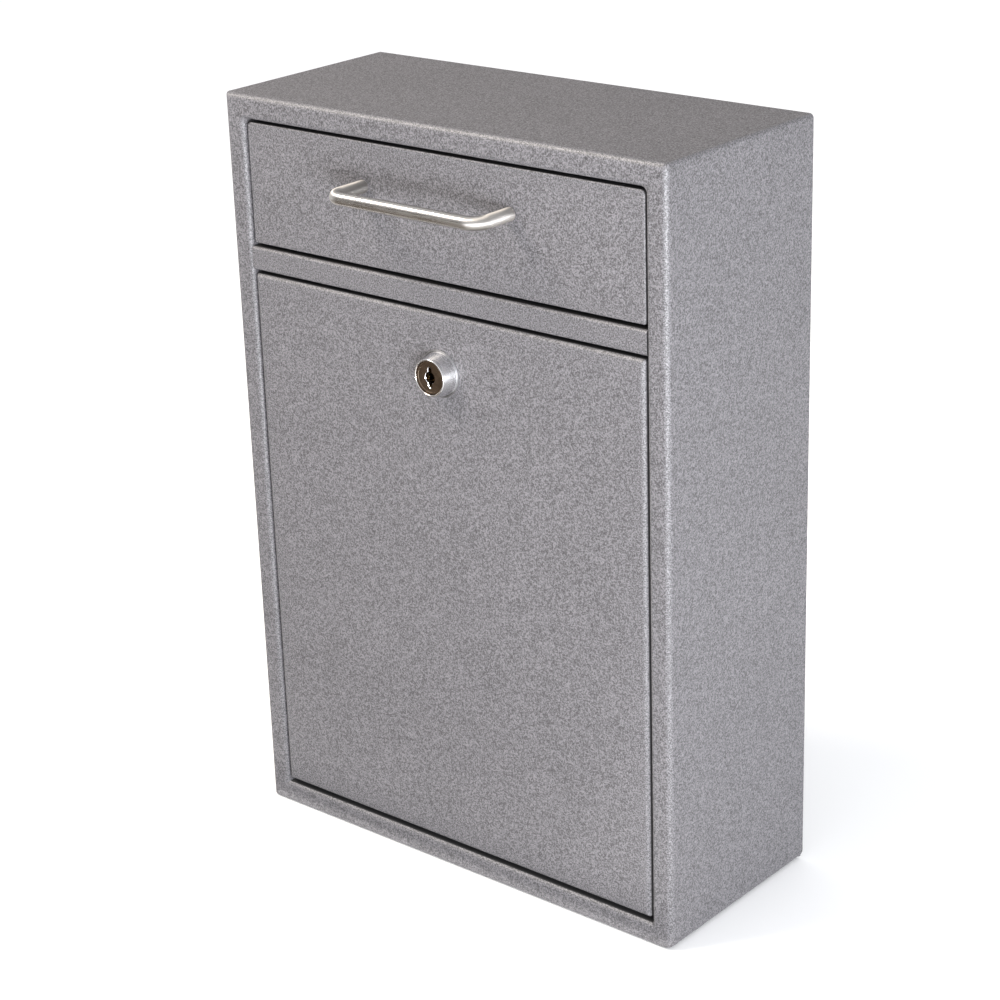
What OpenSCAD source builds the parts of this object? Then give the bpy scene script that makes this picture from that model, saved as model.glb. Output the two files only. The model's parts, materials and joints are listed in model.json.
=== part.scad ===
// Wall-mounted parcel and letter drop box: a welded sheet-steel cabinet with a pull-down
// hopper at the top and a bottom-hinged, cam-locked collection door below it.
// Millimetres. The origin is the centre of the underside, +Z is up, and the doors face -Y.

/* [Cabinet] */
// Width of the cabinet, side to side
cabinet_w = 285.75; // [270:0.25:300]
// Depth of the cabinet, wall to front frame
cabinet_d = 120.65; // [115:0.05:130]
// Height of the cabinet
cabinet_h = 412.75; // [405:0.25:425]
// Thickness of the sheet steel
sheet_t = 1.5; // [1.2:0.1:1.8]
// Outside radius of the folded front edges
front_edge_r = 3.3; // [2.5:0.1:4]

/* [Front frame] */
// Width of the face that runs round the front
frame_w = 12.7; // [12:0.1:14]
// Outside radius of the fold at the opening
frame_fold_r = 2; // [1.9:0.1:2.4]
// Depth of the lip that returns into the cabinet
lip_depth = 14; // [13.8:0.1:15]
// Height of the underside of the divider rail
rail_z = 318.7; // [316:0.1:322]
// Height of the divider rail's face
rail_h = 12.7; // [12:0.1:14]
// Distance of the rail's face behind the frame's face
rail_setback = 0.4; // [0.2:0.1:0.8]
// Outside radius of the rail's folds
rail_fold_r = 1.8; // [1.7:0.1:2.2]

/* [Collection door] */
// Gap between the door and the jamb at each side
door_side_gap = 1.2; // [1:0.1:1.5]
// Gap under the door
door_bottom_gap = 2.5; // [2.3:0.1:2.8]
// Gap between the door and the divider rail
door_top_gap = 1.8; // [1.6:0.1:2]
// Depth of the door's folded pan
door_depth = 12.5; // [12.3:0.1:12.7]
// Outside radius of the door's front edges
door_edge_r = 2.2; // [2:0.1:2.5]
// Hinge line's distance behind the cabinet's front
door_hinge_in = 6.3; // [6.2:0.1:6.6]
// Height of the door's hinge line
door_hinge_z = 21; // [20.8:0.1:21.5]

/* [Hopper] */
// Gap between the hopper and the jamb at each side
hopper_side_gap = 1.3; // [1.1:0.1:1.5]
// Gap between the hopper and the divider rail
hopper_bottom_gap = 2; // [1.9:0.1:2.2]
// Gap between the hopper and the top of the frame
hopper_top_gap = 1.7; // [1.6:0.1:2]
// Distance of the hopper's face behind the frame's face
hopper_setback = 1.5; // [1.3:0.1:1.7]
// Outside radius of the hopper's front edges
hopper_edge_r = 1.8; // [1.7:0.1:2]
// Hinge line's distance behind the cabinet's front
hopper_hinge_in = 7.3; // [7.1:0.1:7.5]
// Height of the hopper's hinge line above the rail's top
hopper_hinge_up = 8.9; // [8.8:0.1:9.1]
// How far the hopper tips forward, in degrees
hopper_travel = 38; // [34:1:38]
// Slope of the tray's floor when the hopper is shut, in degrees
tray_slope = 40; // [38:1:42]
// Length of the tray's floor from the hinge line
tray_reach = 72; // [68:1:74]
// Height of the tray's floor above the hinge line, square to the floor
tray_rise = 8; // [7.5:0.1:8.5]

/* [Pull handle] */
// Distance between the centres of the handle's legs
handle_span = 96; // [80:1:128]
// Diameter of the handle's bar
handle_bar_d = 7; // [6:0.5:8]
// Radius of the bar's centreline at its two bends
handle_bend_r = 7.5; // [7:0.5:12]
// Distance from the hopper's face to the bar's centreline
handle_reach = 24.3; // [20:0.1:26]
// Height of the handle above the hopper's lower edge
handle_up = 41.8; // [38:0.1:46]

/* [Lock] */
// Distance of the lock's centre below the door's top edge
lock_down = 31.5; // [30:0.5:34]
// Diameter of the lock's head where it meets its ring
lock_base_d = 24; // [22.5:0.1:26]
// Diameter of the lock's head at its front
lock_front_d = 19.5; // [19.2:0.1:21]
// How far the lock's head stands out from the door
lock_proud = 8.5; // [7:0.05:9]
// Length of the cam from the lock's centre to its tip
cam_reach = 41.5; // [40:0.5:42]

/* [Wall holes] */
// Distance between the holes across the back
wall_hole_dx = 203.2; // [180:0.1:220]
// Distance between the holes up the back
wall_hole_dz = 228.6; // [200:0.1:235]
// Height of the pattern's centre
wall_hole_z = 165.1; // [150:0.1:170]
// Diameter of each wall hole
wall_hole_d = 8; // [6:0.5:9]

/* [Hidden] */
$fn = 96;

// Colours
coat_grey = [0.57, 0.56, 0.56];
bar_steel = [0.80, 0.79, 0.77];
chrome = [0.88, 0.88, 0.88];
plug_metal = [0.55, 0.52, 0.48];
zinc = [0.72, 0.72, 0.70];
brass = [0.80, 0.66, 0.35];
rubber_black = [0.10, 0.10, 0.10];
nylon_white = [0.90, 0.89, 0.85];

// Cabinet
front_y = -cabinet_d / 2;
back_y = cabinet_d / 2;
open_x = cabinet_w / 2 - frame_w;
open_z = cabinet_h - frame_w;
lip_y = front_y + lip_depth;
mitre = frame_w + 8;
cut = 0.5;

// Divider rail
rail_y = front_y + rail_setback;
rail_top = rail_z + rail_h;

// Collection door
door_w = 2 * (open_x - door_side_gap);
door_z = frame_w + door_bottom_gap;
door_h = rail_z - door_top_gap - door_z;
door_hinge = [front_y + door_hinge_in, door_hinge_z];

// Hopper
hopper_w = 2 * (open_x - hopper_side_gap);
hopper_y = front_y + hopper_setback;
hopper_z = rail_top + hopper_bottom_gap;
hopper_h = open_z - hopper_top_gap - hopper_z;
hopper_depth = door_depth - hopper_setback;
hopper_hinge = [front_y + hopper_hinge_in, rail_top + hopper_hinge_up];
panel_in_y = hopper_y + sheet_t - hopper_hinge[0];
cheek_x = hopper_w / 2 - sheet_t;
tray_w = 2 * (cheek_x - sheet_t);
tray_start = (panel_in_y - (tray_rise - sheet_t) * sin(tray_slope)) / cos(tray_slope);
tray_tab_z = -tray_start * sin(tray_slope) + (tray_rise - sheet_t) * cos(tray_slope);
tray_tab_h = 14;
tray_lip = 8;
cheek_r = 58;
ear_r = 63;
ear_gap_deg = 0.2;
ear_deg = atan2(open_z - hopper_hinge[1], lip_y - hopper_hinge[0]) - hopper_travel - ear_gap_deg;

// Mail baffle
baffle_z = 351.6;
baffle_front = 27;
baffle_top_z = 391;
baffle_flange = 14;
baffle_hem = 5;

// Stops
tab_w = 16;
tab_drop = 7.5;
door_tab_x = 80;
hopper_tab_x = 60;
bumper_d = 7;
bumper_gap = 0.2;
bumper_t = lip_y - (front_y + door_depth) - bumper_gap;

// Hinge pins
pin_d = 5;
pin_fit = 0.05;
pin_head_d = 8;
pin_head_t = 1.4;
pin_gap = 0.2;
pin_end = open_x + sheet_t + 3;
spacer_d = 8;
spacer_t = 0.9;
clip_d = 9;
clip_t = 0.8;
clip_x = open_x + sheet_t + 0.25;
clip_groove_d = 4;
clip_slot = 3;

// Handle
handle_z = hopper_z + handle_up;
handle_screw_d = 4;
handle_screw_in = 9;
handle_screw_fit = 0.05;
handle_washer_d = 9;
handle_washer_t = 0.8;
handle_head_d = 7.5;
handle_head_t = 2.8;

// Lock, along its own axis: depths are behind the door's face, so the head's are negative
lock_z = door_z + door_h - lock_down;
ring_d = lock_base_d + 1.2;
ring_t = 0.6;
barrel_d = 19;
barrel_flats = 16.6;
barrel_fit = 0.1;
barrel_end = 14.6;
plug_face_d = 17.6;
plug_face_t = 2.2;
plug_face_in = 0.6;
plug_seat_d = 18;
plug_d = 14;
plug_fit = 0.05;
plug_face_at = plug_face_in - lock_proud;
keyway_w = 2.2;
keyway_h = 11;
keyway_round_d = 6.2;
keyway_depth = 16.9;
wafer_count = 4;
wafer_pitch = 2.6;
wafer_first = 0.1;
wafer_w = 6.4;
wafer_h = 11;
wafer_t = 0.9;
wafer_slot = 0.1;
wafer_window_w = 2.8;
wafer_window_h = 6;
tail_w = 7;
tail_fit = 0.1;
cam_washer_t = 1.1;
cam_washer_d = 17;
cam_gap = 0.1;
cam_at = barrel_end + cam_washer_t + 3 * cam_gap;
cam_t = 2;
tail_len = cam_at + cam_t - barrel_end;
cam_hub_d = 18;
cam_tip_d = 12;
cam_screw_d = 4;
cam_head_d = 10;
cam_head_t = 2.4;
cam_screw_in = 8;
nut_flats = 23;
nut_t = 4;
lock_washer_d = 24;
lock_washer_t = 1.2;

// ---- 2D pieces ----

// A quarter of a bent sheet, centred on the bend, in the -X -Y quarter
module fold(r, t) {
    intersection() {
        difference() {
            circle(r = r);
            circle(r = r - t);
        }
        translate([-r, -r]) square(r);
    }
}

// A rectangle centred on X, from y = 0 to d, with its two front corners rounded
module front_rounded(w, d, r) {
    union() {
        translate([-w / 2, r]) square([w, d - r]);
        translate([-w / 2 + r, 0]) square([w - 2 * r, r]);
        for (s = [-1, 1]) translate([s * (w / 2 - r), r]) circle(r = r);
    }
}

// The cabinet wall's section: x is the distance inward from the wall's outer face, y is depth
module wall_section() {
    translate([0, front_y + front_edge_r]) square([sheet_t, cabinet_d - front_edge_r]);
    translate([front_edge_r, front_y + front_edge_r]) fold(front_edge_r, sheet_t);
    translate([front_edge_r, front_y]) square([frame_w - frame_fold_r - front_edge_r, sheet_t]);
    translate([frame_w - frame_fold_r, front_y + frame_fold_r])
        mirror([1, 0]) fold(frame_fold_r, sheet_t);
    translate([frame_w - sheet_t, front_y + frame_fold_r]) square([sheet_t, lip_depth - frame_fold_r]);
}

// The outline of the lock's flatted barrel, larger all round by gap
module barrel_outline(gap = 0) {
    intersection() {
        circle(d = barrel_d + 2 * gap);
        square([barrel_flats + 2 * gap, barrel_d + 4 * gap], center = true);
    }
}

// The keyway's outline: a narrow slot with round ends and a round centre
module keyway_outline() {
    square([keyway_w, keyway_h - keyway_w], center = true);
    for (s = [-1, 1]) translate([0, s * (keyway_h - keyway_w) / 2]) circle(d = keyway_w);
    circle(d = keyway_round_d);
}

// A tray cheek about the hopper's hinge line: x is depth, y is height
function around(r, a) = [r * cos(a), r * sin(a)];
module cheek_outline() {
    front = panel_in_y + hopper_edge_r - sheet_t;
    low = -4.5;
    high = cheek_r - 6;
    nose = around(tray_reach, -tray_slope);
    up = [sin(tray_slope), cos(tray_slope)];
    polygon([
        [front, low], [5, low], nose, nose + 20 * up,
        around(70, 20), around(ear_r, ear_deg - 14), around(ear_r, ear_deg),
        around(cheek_r, ear_deg), [4, high], [front, high]
    ]);
}

// The folded tray floor about the hopper's hinge line: x is depth, y is height
module tray_section() {
    translate([panel_in_y, tray_tab_z]) square([sheet_t, tray_tab_h]);
    rotate(-tray_slope) {
        translate([tray_start, tray_rise - sheet_t]) square([tray_reach - tray_start, sheet_t]);
        translate([tray_reach - sheet_t, tray_rise - tray_lip]) square([sheet_t, tray_lip]);
    }
}

// The baffle's section: x is depth, y is height
module baffle_section() {
    run = [back_y - sheet_t - baffle_front, baffle_top_z - baffle_z];
    slope = atan2(run[1], run[0]);
    length = norm(run);
    translate([baffle_front, baffle_z]) {
        rotate(slope) square([length, sheet_t]);
        translate([0, -baffle_hem]) square([sheet_t, baffle_hem + sheet_t]);
    }
    translate([back_y - 2 * sheet_t, baffle_top_z - sheet_t]) square([sheet_t, baffle_flange]);
}

// ---- Shared solids ----

// Extrudes a section whose x is depth and y is height along X, centred
module along_x(w) {
    translate([-w / 2, 0, 0]) rotate([90, 0, 90]) linear_extrude(w) children();
}

// A short cylinder along +X that starts at x
module rod_x(x, len, d) {
    translate([x, 0, 0]) rotate([0, 90, 0]) cylinder(h = len, d = d);
}

// Puts something made for the right side on both sides
module both_sides() {
    children();
    mirror([1, 0, 0]) children();
}

// A folded wall that lies outer face down, mitred at both ends
module folded_wall(len) {
    intersection() {
        translate([-len / 2, 0, 0]) rotate([90, 0, 90]) linear_extrude(len)
            mirror([1, -1]) wall_section();
        translate([0, back_y + cut, 0]) rotate([90, 0, 0]) linear_extrude(cabinet_d + 2 * cut)
            polygon([
                [-len / 2, 0], [len / 2, 0], [len / 2 - mitre, mitre], [-len / 2 + mitre, mitre]
            ]);
    }
}

// The holes for the hinge pins, through whatever stands between x0 and x1 at each side
module pin_holes(hinge, x0, x1) {
    translate([0, hinge[0], hinge[1]])
        both_sides() rod_x(x0, x1 - x0, pin_d + 2 * pin_fit);
}

module jamb_holes() {
    for (hinge = [door_hinge, hopper_hinge]) pin_holes(hinge, open_x - cut, open_x + sheet_t + cut);
}

// A block with its four front edges rounded: front face at y = 0, foot at z = 0
module rounded_block(w, d, h, r) {
    intersection() {
        linear_extrude(h) front_rounded(w, d, r);
        translate([0, 0, h / 2]) rotate([0, 90, 0]) translate([0, 0, -w / 2])
            linear_extrude(w) front_rounded(h, d, r);
    }
}

// A folded pan, open at the back
module pan(w, d, h, r) {
    difference() {
        rounded_block(w, d, h, r);
        translate([0, sheet_t, sheet_t])
            rounded_block(w - 2 * sheet_t, d, h - 2 * sheet_t, r - sheet_t);
    }
}

module stop_places() {
    for (x = [-door_tab_x, door_tab_x]) translate([x, lip_y, rail_z]) children();
    for (x = [-hopper_tab_x, hopper_tab_x]) translate([x, lip_y, open_z]) children();
}

// The pins at both ends of a hinge line; head_x is the inner face that the head holds
module hinge_pins(hinge, head_x) {
    neck_x = clip_x - 0.05;
    neck_len = clip_t + 0.1;
    translate([0, hinge[0], hinge[1]]) both_sides() union() {
        rod_x(head_x - pin_gap - pin_head_t, pin_head_t, pin_head_d);
        rod_x(head_x - pin_gap, neck_x - head_x + pin_gap, pin_d);
        rod_x(neck_x, neck_len, clip_groove_d);
        rod_x(neck_x + neck_len, pin_end - neck_x - neck_len, pin_d);
    }
}

module hinge_spacers(hinge) {
    translate([0, hinge[0], hinge[1]]) both_sides() difference() {
        rod_x(open_x - spacer_t, spacer_t, spacer_d);
        rod_x(open_x - spacer_t - cut, spacer_t + 2 * cut, pin_d + 4 * pin_fit);
    }
}

module hinge_clips(hinge) {
    translate([0, hinge[0], hinge[1]]) both_sides() difference() {
        rod_x(clip_x, clip_t, clip_d);
        rod_x(clip_x - cut, clip_t + 2 * cut, clip_groove_d + 2 * pin_fit);
        translate([clip_x - cut, 0, -clip_slot / 2]) cube([clip_t + 2 * cut, clip_d, clip_slot]);
    }
}

// Extrudes an outline along the lock's axis, from one depth behind the door's face to another
module lock_span(from, to) {
    translate([0, front_y + to, lock_z]) rotate([90, 0, 0]) linear_extrude(to - from) children();
}

// ---- Cabinet ----

module left_side() {
    color(coat_grey) difference() {
        translate([-cabinet_w / 2, 0, cabinet_h / 2]) rotate([0, 90, 0]) folded_wall(cabinet_h);
        jamb_holes();
    }
}

module right_side() {
    color(coat_grey) difference() {
        translate([cabinet_w / 2, 0, cabinet_h / 2]) rotate([0, -90, 0]) folded_wall(cabinet_h);
        jamb_holes();
    }
}

module top_panel() {
    color(coat_grey) translate([0, 0, cabinet_h]) rotate([0, 180, 0]) folded_wall(cabinet_w);
}

module bottom_panel() {
    color(coat_grey) folded_wall(cabinet_w);
}

module back_panel() {
    color(coat_grey) difference() {
        translate([-cabinet_w / 2 + sheet_t, back_y - sheet_t, sheet_t])
            cube([cabinet_w - 2 * sheet_t, sheet_t, cabinet_h - 2 * sheet_t]);
        for (x = [-wall_hole_dx / 2, wall_hole_dx / 2])
            for (z = [wall_hole_z - wall_hole_dz / 2, wall_hole_z + wall_hole_dz / 2])
                translate([x, back_y + cut, z]) rotate([90, 0, 0])
                    cylinder(h = sheet_t + 2 * cut, d = wall_hole_d);
    }
}

module divider_rail() {
    depth = lip_y - rail_y;
    color(coat_grey) translate([0, rail_y, rail_z]) along_x(2 * open_x) difference() {
        translate([0, rail_h / 2]) rotate(-90) front_rounded(rail_h, depth, rail_fold_r);
        translate([sheet_t, rail_h / 2]) rotate(-90)
            front_rounded(rail_h - 2 * sheet_t, depth, rail_fold_r - sheet_t);
    }
}

// Keeps the cam's wear off the rail, and closes the rail's back where the cam bears
module lock_strike() {
    strike_w = 44;
    margin = 0.8;
    color(zinc) translate([-strike_w / 2, lip_y, rail_z + margin])
        cube([strike_w, sheet_t, rail_h - 2 * margin]);
}

// Stops a hand from reaching past the hopper's tray
module mail_baffle() {
    color(coat_grey) along_x(cabinet_w - 2 * sheet_t) baffle_section();
}

module stop_tabs() {
    color(coat_grey) stop_places()
        translate([-tab_w / 2, 0, -tab_drop]) cube([tab_w, sheet_t, tab_drop + sheet_t]);
}

module stop_bumpers() {
    color(rubber_black) stop_places()
        translate([0, 0, -bumper_d / 2 - cut]) rotate([90, 0, 0])
            cylinder(h = bumper_t, d = bumper_d);
}

module door_hinge_pins() {
    color(zinc) hinge_pins(door_hinge, door_w / 2 - sheet_t);
}

module door_hinge_spacers() {
    color(nylon_white) hinge_spacers(door_hinge);
}

module door_hinge_clips() {
    color(zinc) hinge_clips(door_hinge);
}

module hopper_hinge_pins() {
    color(zinc) hinge_pins(hopper_hinge, cheek_x - sheet_t);
}

module hopper_hinge_spacers() {
    color(nylon_white) hinge_spacers(hopper_hinge);
}

module hopper_hinge_clips() {
    color(zinc) hinge_clips(hopper_hinge);
}

// ---- Collection door and its lock ----

module door_panel() {
    color(coat_grey) difference() {
        translate([0, front_y, door_z]) pan(door_w, door_depth, door_h, door_edge_r);
        pin_holes(door_hinge, door_w / 2 - 2 * sheet_t, open_x);
        lock_span(-cut, sheet_t + cut) barrel_outline(barrel_fit);
    }
}

module lock_body() {
    head_t = lock_proud - ring_t;
    bore_d = plug_d + 2 * plug_fit;
    color(chrome) difference() {
        union() {
            translate([0, front_y - ring_t, lock_z]) rotate([90, 0, 0])
                cylinder(h = head_t, d1 = lock_base_d, d2 = lock_front_d);
            lock_span(-ring_t, barrel_end) barrel_outline();
        }
        lock_span(-lock_proud - cut, barrel_end + cut) circle(d = bore_d);
        lock_span(-lock_proud - cut, plug_face_at + plug_face_t + plug_fit) circle(d = plug_seat_d);
    }
}

module lock_base_ring() {
    color(chrome) lock_span(-ring_t, 0) difference() {
        circle(d = ring_d);
        barrel_outline(barrel_fit);
    }
}

module lock_washer() {
    color(zinc) lock_span(sheet_t, sheet_t + lock_washer_t) difference() {
        circle(d = lock_washer_d);
        barrel_outline(barrel_fit);
    }
}

module lock_nut() {
    nut_from = sheet_t + lock_washer_t;
    color(zinc) lock_span(nut_from, nut_from + nut_t) difference() {
        circle(d = nut_flats / cos(30), $fn = 6);
        circle(d = barrel_d + 2 * barrel_fit);
    }
}

module lock_plug() {
    core_from = plug_face_at + plug_face_t;
    color(plug_metal) difference() {
        union() {
            lock_span(plug_face_at, core_from) circle(d = plug_face_d);
            lock_span(core_from, barrel_end) circle(d = plug_d);
            lock_span(barrel_end, barrel_end + tail_len) square(tail_w, center = true);
        }
        lock_span(plug_face_at - cut, plug_face_at + keyway_depth) keyway_outline();
        wafer_spans(wafer_slot) square([wafer_w + 2 * wafer_slot, wafer_h + 2 * wafer_slot], center = true);
        lock_span(barrel_end + tail_len - cam_screw_in, barrel_end + tail_len + cut)
            circle(d = cam_screw_d);
    }
}

// The wafers' places along the plug, each lengthened by gap at both ends
module wafer_spans(gap = 0) {
    for (i = [0 : wafer_count - 1]) {
        at = wafer_first + i * wafer_pitch;
        lock_span(at - gap, at + wafer_t + gap) children();
    }
}

module lock_wafers() {
    color(brass) wafer_spans() difference() {
        square([wafer_w, wafer_h], center = true);
        square([wafer_window_w, wafer_window_h], center = true);
    }
}

module cam_washer() {
    from = barrel_end + cam_gap;
    color(zinc) lock_span(from, from + cam_washer_t) difference() {
        circle(d = cam_washer_d);
        square(tail_w + 2 * tail_fit, center = true);
    }
}

// Points to the left when unlocked, and a quarter turn clockwise puts it behind the strike
module lock_cam() {
    color(zinc) lock_span(cam_at, cam_at + cam_t) difference() {
        hull() {
            circle(d = cam_hub_d, $fn = 32);
            translate([-cam_reach + cam_tip_d / 2, 0]) circle(d = cam_tip_d, $fn = 32);
        }
        square(tail_w + 2 * tail_fit, center = true);
    }
}

module cam_screw() {
    head_at = cam_at + cam_t + cam_gap;
    color(zinc) difference() {
        union() {
            lock_span(barrel_end + tail_len - cam_screw_in + cut, head_at)
                circle(d = cam_screw_d - 2 * pin_fit);
            lock_span(head_at, head_at + cam_head_t) circle(d = cam_head_d);
        }
        lock_span(head_at + cam_head_t - 1, head_at + cam_head_t + cut) {
            square([6, 1], center = true);
            square([1, 6], center = true);
        }
    }
}

// ---- Hopper ----

module hopper_panel() {
    color(coat_grey) difference() {
        translate([0, hopper_y, hopper_z]) pan(hopper_w, hopper_depth, hopper_h, hopper_edge_r);
        pin_holes(hopper_hinge, hopper_w / 2 - 2 * sheet_t, open_x);
        handle_places() translate([0, sheet_t + cut, 0]) rotate([90, 0, 0])
            cylinder(h = sheet_t + 2 * cut, d = handle_screw_d + 0.4);
    }
}

module tray_floor() {
    color(coat_grey) translate([0, hopper_hinge[0], hopper_hinge[1]]) along_x(tray_w) tray_section();
}

module tray_cheeks() {
    color(coat_grey) difference() {
        both_sides() translate([cheek_x - sheet_t / 2, hopper_hinge[0], hopper_hinge[1]])
            along_x(sheet_t) cheek_outline();
        pin_holes(hopper_hinge, cheek_x - 2 * sheet_t, open_x);
    }
}

// The feet of the handle's legs on the hopper's face
module handle_places() {
    for (x = [-handle_span / 2, handle_span / 2]) translate([x, hopper_y, handle_z]) children();
}

module pull_handle() {
    leg = handle_reach - handle_bend_r;
    grip = handle_span - 2 * handle_bend_r;
    bend_y = hopper_y - leg;
    color(bar_steel) difference() {
        union() {
            handle_places() rotate([90, 0, 0]) cylinder(h = leg, d = handle_bar_d);
            both_sides() translate([handle_span / 2 - handle_bend_r, bend_y, handle_z])
                rotate([0, 0, -90]) rotate_extrude(angle = 90)
                    translate([handle_bend_r, 0]) circle(d = handle_bar_d);
            translate([0, hopper_y - handle_reach, handle_z]) rod_x(-grip / 2, grip, handle_bar_d);
        }
        handle_places() translate([0, cut, 0]) rotate([90, 0, 0])
            cylinder(h = handle_screw_in + cut, d = handle_screw_d);
    }
}

module handle_screws() {
    seat = sheet_t + handle_washer_t;
    shank = seat + handle_screw_in - 1;
    color(zinc) handle_places() translate([0, seat, 0]) difference() {
        union() {
            rotate([90, 0, 0]) cylinder(h = shank, d = handle_screw_d - 2 * handle_screw_fit);
            rotate([-90, 0, 0]) cylinder(h = handle_head_t, d = handle_head_d);
        }
        translate([-0.5, handle_head_t - 1, -2.5]) cube([1, 1 + cut, 5]);
        translate([-2.5, handle_head_t - 1, -0.5]) cube([5, 1 + cut, 1]);
    }
}

module handle_washers() {
    color(zinc) handle_places() translate([0, sheet_t, 0]) rotate([-90, 0, 0]) difference() {
        cylinder(h = handle_washer_t, d = handle_washer_d);
        translate([0, 0, -cut]) cylinder(h = handle_washer_t + 2 * cut, d = handle_screw_d + 0.3);
    }
}

left_side();
right_side();
top_panel();
bottom_panel();
back_panel();
divider_rail();
lock_strike();
mail_baffle();
stop_tabs();
stop_bumpers();
door_hinge_pins();
door_hinge_spacers();
door_hinge_clips();
hopper_hinge_pins();
hopper_hinge_spacers();
hopper_hinge_clips();
door_panel();
lock_body();
lock_base_ring();
lock_washer();
lock_nut();
lock_plug();
lock_wafers();
cam_washer();
lock_cam();
cam_screw();
hopper_panel();
tray_floor();
tray_cheeks();
pull_handle();
handle_screws();
handle_washers();
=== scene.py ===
"""Finished looks for a wall-mounted sheet-steel drop box: the folded shell, the two doors, the
pull handle, the cam lock and the small hardware, each as its own piece on its moving part."""

import json
import math

import bmesh
import bpy
from bpy.props import (
    FloatProperty,
    FloatVectorProperty,
    PointerProperty,
)
from bpy.types import Operator, Panel, PropertyGroup
from mathutils import Matrix, Vector


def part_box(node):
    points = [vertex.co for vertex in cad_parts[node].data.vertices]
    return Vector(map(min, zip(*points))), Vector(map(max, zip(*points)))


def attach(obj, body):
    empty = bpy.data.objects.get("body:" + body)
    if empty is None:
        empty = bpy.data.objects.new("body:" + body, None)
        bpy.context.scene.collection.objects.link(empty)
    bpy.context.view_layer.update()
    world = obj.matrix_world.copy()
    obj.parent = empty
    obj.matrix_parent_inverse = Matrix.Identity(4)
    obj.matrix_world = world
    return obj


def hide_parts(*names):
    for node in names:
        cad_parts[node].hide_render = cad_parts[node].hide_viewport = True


bl_info = {
    "name": "Drop Box Maker",
    "version": (1, 0, 0),
    "blender": (4, 5, 0),
    "location": "View3D > Sidebar > Drop Box",
    "description": "Builds the painted, plated and brushed pieces of a wall drop box",
    "category": "Add Mesh",
}

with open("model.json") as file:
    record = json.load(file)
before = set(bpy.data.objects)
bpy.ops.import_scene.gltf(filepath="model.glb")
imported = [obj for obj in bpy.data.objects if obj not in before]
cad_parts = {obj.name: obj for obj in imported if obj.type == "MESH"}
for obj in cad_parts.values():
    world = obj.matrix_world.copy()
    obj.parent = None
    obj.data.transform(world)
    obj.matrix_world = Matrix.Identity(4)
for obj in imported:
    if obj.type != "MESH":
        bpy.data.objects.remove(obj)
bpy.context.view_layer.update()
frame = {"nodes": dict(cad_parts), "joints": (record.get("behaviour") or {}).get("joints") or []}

MM = 0.001
FRONT = Vector((0, -1, 0))
UP = Vector((0, 0, 1))

# A face whose normal has more than this along an axis faces along it.
SQUARE_ON = 0.9

# Steps round a turned part, the bar, a hole, a bend of the bar, a fold and a sheet's corner.
TURN_STEPS = 96
BAR_STEPS = 40
HOLE_STEPS = 64
BEND_STEPS = 16
FOLD_STEPS = 6
CORNER_STEPS = 6

JOINTS = {joint["name"]: Vector(joint["pos_m"]) for joint in frame["joints"]}


# ---- Sizes that the frame fixes ----


def span(*nodes):
    """Lowest and highest corner of several frame nodes together."""
    boxes = [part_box(node) for node in nodes]
    low = Vector([min(box[0][i] for box in boxes) for i in range(3)])
    high = Vector([max(box[1][i] for box in boxes) for i in range(3)])
    return low, high


CABINET = span("left_side", "right_side", "top_panel", "bottom_panel")
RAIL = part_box("divider_rail")
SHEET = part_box("back_panel")[1].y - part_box("back_panel")[0].y
FACE_WIDTH = CABINET[1].x - RAIL[1].x
LIP_Y = RAIL[1].y


# ---- Outlines ----


def arc(centre, radius, start, end, steps):
    """Points from one angle to another, in degrees, both ends included."""
    angles = [math.radians(start + (end - start) * i / steps) for i in range(steps + 1)]
    return [(centre[0] + radius * math.cos(a), centre[1] + radius * math.sin(a)) for a in angles]


def rounded_ring(half_x, half_z, centre_z, y, radii):
    """A rectangle with rounded corners, standing square to Y. The radii are for the corners in
    the order lower left, lower right, upper right, upper left."""
    points = []
    corners = ((-1, -1, 180), (1, -1, 270), (1, 1, 0), (-1, 1, 90))
    for (side_x, side_z, start), radius in zip(corners, radii):
        centre = (side_x * (half_x - radius), side_z * (half_z - radius))
        for x, z in arc(centre, radius, start, start + 90, CORNER_STEPS):
            points.append(Vector((x, y, centre_z + z)))
    return points


def inset_rings(box, section, radii_at):
    """Rings over a folded piece, one for each (inset, y) of its section. radii_at gives the
    corner radii at an inset."""
    low, high = box
    half_x = (high.x - low.x) / 2
    half_z = (high.z - low.z) / 2
    centre_z = (low.z + high.z) / 2
    return [
        rounded_ring(half_x - inset, half_z - inset, centre_z, y, radii_at(inset))
        for inset, y in section
    ]


def bent_strip(corners, outer_r):
    """Both faces of a bent sheet, from the corners of its middle line. Returns two equal lists."""
    turn_r = outer_r - SHEET + SHEET / 2
    middle = []
    for i, corner in enumerate(corners):
        here = Vector(corner)
        if i in (0, len(corners) - 1):
            other = Vector(corners[1] if i == 0 else corners[-2])
            run = (other - here if i == 0 else here - other).normalized()
            middle.append((here, run))
            continue
        into = (here - Vector(corners[i - 1])).normalized()
        out = (Vector(corners[i + 1]) - here).normalized()
        turn = into.angle_signed(out) * -1
        back = turn_r * math.tan(abs(turn) / 2)
        side = Vector((-into.y, into.x)) * (1 if turn > 0 else -1)
        centre = here - into * back + side * turn_r
        for step in range(FOLD_STEPS + 1):
            swing = Matrix.Rotation(turn * step / FOLD_STEPS, 2)
            middle.append((centre - swing @ side * turn_r, swing @ into))
    left = [p + Vector((-d.y, d.x)) * SHEET / 2 for p, d in middle]
    right = [p - Vector((-d.y, d.x)) * SHEET / 2 for p, d in middle]
    return left, right


# ---- Solids ----

# Points closer than this become one, and folds sharper than this angle get a broken edge.
WELD_GAP = 0.002 * MM
BROKEN_ANGLE = math.radians(32)


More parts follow.
